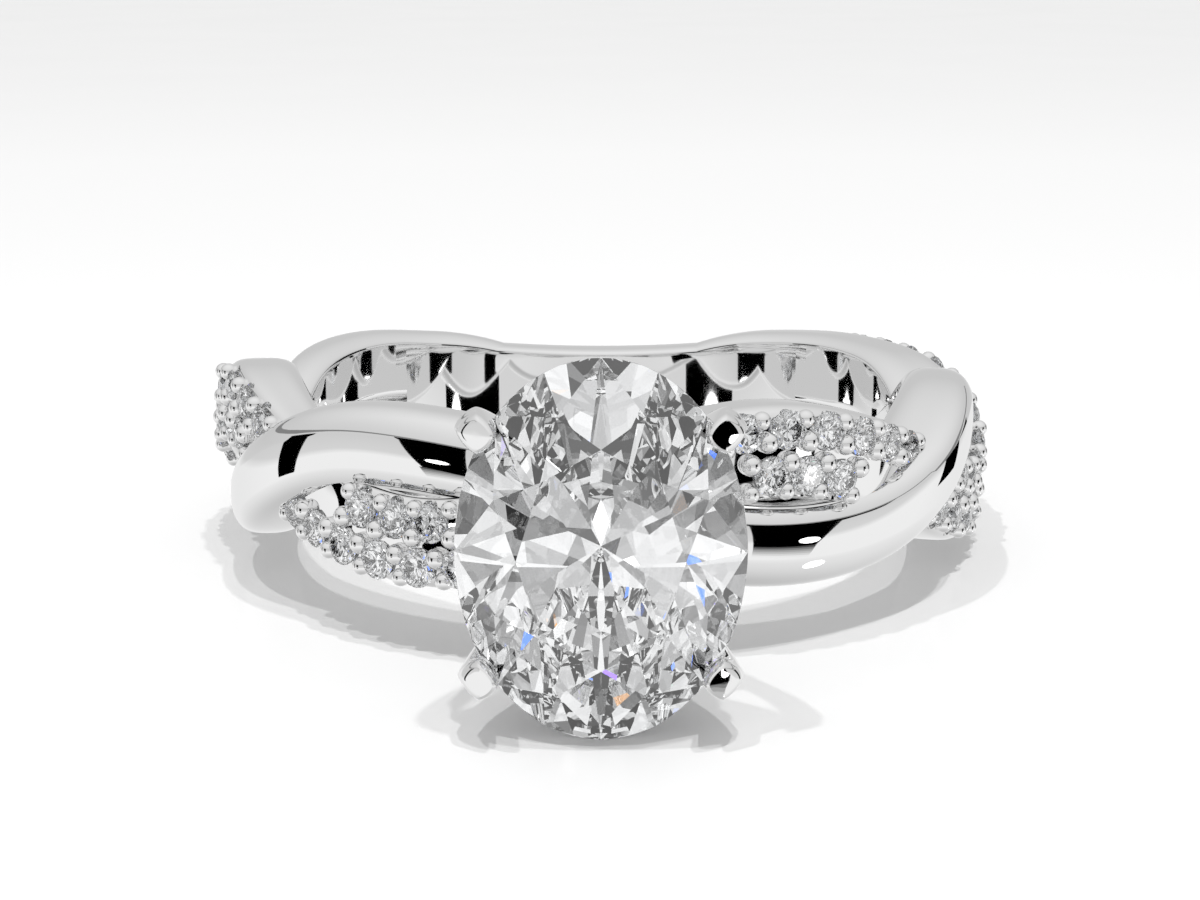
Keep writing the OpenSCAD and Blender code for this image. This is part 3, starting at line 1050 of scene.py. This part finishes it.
def centre_brilliant(name, more=0.0):
    """The centre stone in its place, larger on all sides by some millimetres."""
    s = stones()
    grow = 2 * more * MM
    gem = brilliant(name, s.stone_w + grow, s.stone_l + grow, (CROWN + more) * MM, (PAVILION + more) * MM,
                    (GIRDLE + more) * MM, arc=GIRDLE_ARC)
    gem.transform(Matrix.Translation((0, -s.girdle_y, 0)) @ Matrix.Rotation(math.pi / 2, 4, "X"))
    return gem


# A claw's section: its points and its roundness, from 1 for a sharp diamond to 2 for a circle, and the
# steps between two rows of its table
CLAW_SIDES, CLAW_ROUND, CLAW_STEPS = 48, 1.45, 10
# The bevel round a claw's tip and the slightly domed facet inside it: height above the girdle and half
# size (mm)
TIP_BEVEL = ((0.66, 0.44), (0.75, 0.415), (0.81, 0.38), (0.85, 0.325))
TIP_FACET = ((0.855, 0.25), (0.859, 0.17), (0.862, 0.09), (0.863, 0.01))
# How far the facets of the claws are turned outwards, in degrees, by the claw's side and end
TIP_TURNS = {(1, 1): 27.5, (1, -1): 30.5, (-1, 1): 34, (-1, -1): 34}
# Gallery and foot rail: distance from the finger axis and half sizes of the loop, and radius of the
# wire (mm)
RAILS = ((12.15, 2.24, 2.98), (10.74, 1.52, 1.63))
RAIL_R = 0.28
RAIL_STEPS, RAIL_SIDES = 96, 16


class RING_OT_head(bpy.types.Operator):
    """Raise the four claws with their two rails"""

    bl_idname = "ring.head"
    bl_label = "Claws"

    def claw_rows(self):
        """Height, share of the reach and half size all along a claw, smoothly through CLAW_TABLE."""
        table = (CLAW_TABLE[0], *CLAW_TABLE, CLAW_TABLE[-1])
        rows = []
        for four in zip(table, table[1:], table[2:], table[3:]):
            for u in (k / CLAW_STEPS for k in range(CLAW_STEPS)):
                rows.append([0.5 * (2 * b + (c - a) * u + (2 * a - 5 * b + 4 * c - d) * u * u
                                    + (3 * b - a - 3 * c + d) * u**3) for a, b, c, d in zip(*four)])
        top = CLAW_TABLE[-1]
        return rows + [top] + [(height, top[1], half) for height, half in TIP_BEVEL + TIP_FACET]

    def claw(self, side, end):
        """One claw as a skin through rounded diamonds, bevelled round a facet that is turned outwards."""
        x0, z0, girdle = stones().claw_x / MM, stones().claw_z / MM, stones().girdle_y / MM
        slope = math.tan(math.radians(TIP_TURNS[side, end]))
        top = CLAW_TABLE[-1][0]
        sections = []
        for height, share, half in self.claw_rows():
            lean = slope * min(max(height / top, 0), 1)
            ring = []
            for a in turns(CLAW_SIDES):
                across = half * signed_power(math.cos(a), 2 / CLAW_ROUND)
                lengthwise = half * signed_power(math.sin(a), 2 / CLAW_ROUND)
                point = Vector((side * (x0 * share + across), lean * across - girdle - height,
                                end * (z0 * share + lengthwise)))
                ring.append(point * MM)
            sections.append(ring)
        return swept("claw", sections)

    def execute(self, context):
        metal = bpy.data.materials["polished_white_gold"]
        claws = joined("claws", [(self.claw(*place), Matrix.Identity(4)) for place in TIP_TURNS])
        claws = cut(claws, centre_brilliant("room", STONE_AIR))
        upright = Matrix.Rotation(math.pi / 2, 4, "X")
        rails = []
        for y, across, lengthwise in RAILS:
            rail = loop("rail", across * MM, lengthwise * MM, RAIL_R * MM, RAIL_STEPS, RAIL_SIDES)
            rails.append((rail, Matrix.Translation((0, -y * MM, 0)) @ upright))
        claws = finished("claws", claws, metal, CLAW_SHARP)
        rails = finished("claw_rails", joined("claw_rails", rails), metal, RAIL_SHARP)
        for piece in (claws, rails):
            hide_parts("ring_mount")
        return {"FINISHED"}


# The small stone in the inner wall: angle, height over the middle, depth of its girdle and diameter (mm)
INNER_AT, INNER_UP, INNER_SINK, INNER_D = -164.6, 0.1, 0.1, 0.7
# Its heights of crown, pavilion and girdle, and the radii of its rim and of the rim's wire, in diameters
INNER_CROWN, INNER_PAVILION, INNER_GIRDLE = 0.15, 0.43, 0.02
INNER_RIM, INNER_WIRE = 0.6, 0.09
INNER_STEPS, INNER_SIDES = 32, 16


class RING_OT_centre(bpy.types.Operator):
    """Cut the oval centre stone and the small stone inside the shank"""

    bl_idname = "ring.centre"
    bl_label = "Centre stone"

    def execute(self, context):
        stone = cut_stone("clear_stone")
        piece = finished("centre_stone_cut", centre_brilliant("centre_stone"), stone)
        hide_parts("centre_stone")
        at = (Matrix.Rotation(math.radians(INNER_AT), 4, "Z")
              @ Matrix.Translation((0, -band().finger_r - INNER_SINK * MM, INNER_UP * MM))
              @ Matrix.Rotation(-math.pi / 2, 4, "X"))
        d = INNER_D * MM
        small = brilliant("small", d, d, INNER_CROWN * d, INNER_PAVILION * d, INNER_GIRDLE * d)
        small.transform(at)
        piece = finished("inner_stone_cut", small, bpy.data.materials["accent_stone"])
        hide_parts("inner_stone")
        rim = loop("inner_rim", INNER_RIM * d, INNER_RIM * d, INNER_WIRE * d, INNER_STEPS, INNER_SIDES)
        rim.transform(at)
        metal = bpy.data.materials["polished_white_gold"]
        rim = finished("inner_rim", rim, metal, SMALL_SHARP)
        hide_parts("ring_mount")
        return {"FINISHED"}


class RING_PT_panel(bpy.types.Panel):
    """Lists the ring's pieces in the sidebar"""

    bl_idname = "RING_PT_panel"
    bl_label = "Crossover ring"
    bl_space_type = "VIEW_3D"
    bl_region_type = "UI"
    bl_category = "Ring"

    def draw(self, context):
        for name, group in GROUPS:
            box = self.layout.box()
            for setting in group.__annotations__:
                box.prop(getattr(context.scene, name), setting)
        for operator in OPERATORS:
            self.layout.operator(operator.bl_idname)


GROUPS = (("ring_band", RingBandSizes), ("ring_stones", RingStoneSizes), ("ring_finish", RingFinish),
          ("ring_studio", RingStudio))
OPERATORS = (RING_OT_camera, RING_OT_stage, RING_OT_band, RING_OT_accents, RING_OT_head, RING_OT_centre)


def register():
    for name, group in GROUPS:
        bpy.utils.register_class(group)
        setattr(bpy.types.Scene, name, PointerProperty(type=group))
    for operator in OPERATORS:
        bpy.utils.register_class(operator)
    bpy.utils.register_class(RING_PT_panel)


def unregister():
    bpy.utils.unregister_class(RING_PT_panel)
    for operator in reversed(OPERATORS):
        bpy.utils.unregister_class(operator)
    for name, group in reversed(GROUPS):
        delattr(bpy.types.Scene, name)
        bpy.utils.unregister_class(group)


def corners(box):
    return [list(corner) for corner in box]


def main():
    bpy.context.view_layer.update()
    register()
    bpy.ops.ring.camera()
    bpy.ops.ring.stage()
    bpy.ops.ring.band()
    bpy.ops.ring.accents()
    bpy.ops.ring.head()
    bpy.ops.ring.centre()


if __name__ == "__main__":
    main()
